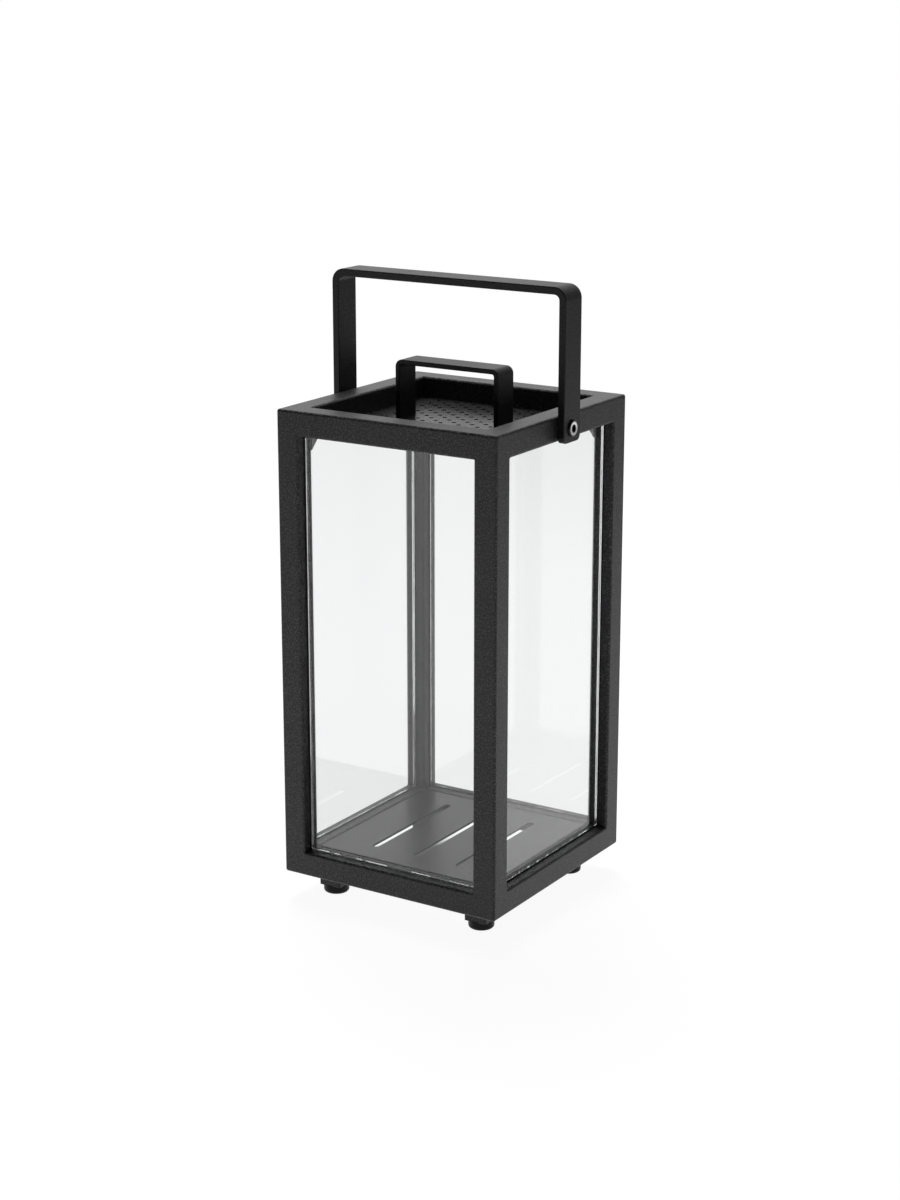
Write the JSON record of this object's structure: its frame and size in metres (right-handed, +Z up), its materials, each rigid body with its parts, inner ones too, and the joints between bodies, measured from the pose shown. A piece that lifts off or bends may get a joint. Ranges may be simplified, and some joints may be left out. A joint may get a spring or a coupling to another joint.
{
  "type": "lantern table lamp",
  "caption": "Square table lantern with a welded tube frame, glass sides, slotted floor, lift-out perforated lid with a strap handle, swinging carrying bail and rubber feet.",
  "frame": {"origin": "middle of the standing plane, under the rubber feet", "axes": "+X along the front towards its right, +Y from the front to the back, +Z up; the bail swings about an X axis"},
  "size_m": [0.2172, 0.2, 0.504],
  "materials": {
    "frame_coat": "fine textured charcoal powder coat",
    "sheet_coat": "satin charcoal powder coat",
    "strap_coat": "fine textured charcoal powder coat",
    "glass": "clear float glass",
    "sealant": "clear silicone bead",
    "rubber": "matt black",
    "stainless": "turned stainless steel",
    "zinc_steel": "zinc plated"
  },
  "bodies": {
    "lantern": {"bottom_rail_front": "frame_coat", "bottom_rail_right": "frame_coat", "bottom_rail_back": "frame_coat", "bottom_rail_left": "frame_coat", "top_rail_front": "frame_coat", "top_rail_right": "frame_coat", "top_rail_back": "frame_coat", "top_rail_left": "frame_coat", "post_front_left": "frame_coat", "post_front_right": "frame_coat", "post_back_right": "frame_coat", "post_back_left": "frame_coat", "lid_bracket_front_left": "frame_coat", "lid_bracket_front_right": "frame_coat", "lid_bracket_back_right": "frame_coat", "lid_bracket_back_left": "frame_coat", "foot_stub_front_left": "frame_coat", "foot_stub_front_right": "frame_coat", "foot_stub_back_right": "frame_coat", "foot_stub_back_left": "frame_coat", "rubber_foot_front_left": "rubber", "rubber_foot_front_right": "rubber", "rubber_foot_back_right": "rubber", "rubber_foot_back_left": "rubber", "pane_front": "glass", "pane_right": "glass", "pane_back": "glass", "pane_left": "glass", "pane_seal_front": "sealant", "pane_seal_right": "sealant", "pane_seal_back": "sealant", "pane_seal_left": "sealant", "floor_plate": "sheet_coat", "pivot_screw_left": "stainless", "pivot_screw_right": "stainless", "pivot_nut_left": "zinc_steel", "pivot_nut_right": "zinc_steel"},
    "lid": {"lid_plate": "sheet_coat", "lid_handle": "strap_coat"},
    "bail": {"carrying_bail": "strap_coat"}
  },
  "joints": [
    {"name": "lid_lift", "type": "slide", "parent": "lantern", "child": "lid", "axis": [0, 0, 1], "range_m": [0, 0.05]},
    {"name": "bail_swing", "type": "hinge", "parent": "lantern", "child": "bail", "pos_m": [0, 0, 0.395], "axis": [1, 0, 0], "range_deg": [-96, 96]}
  ]
}
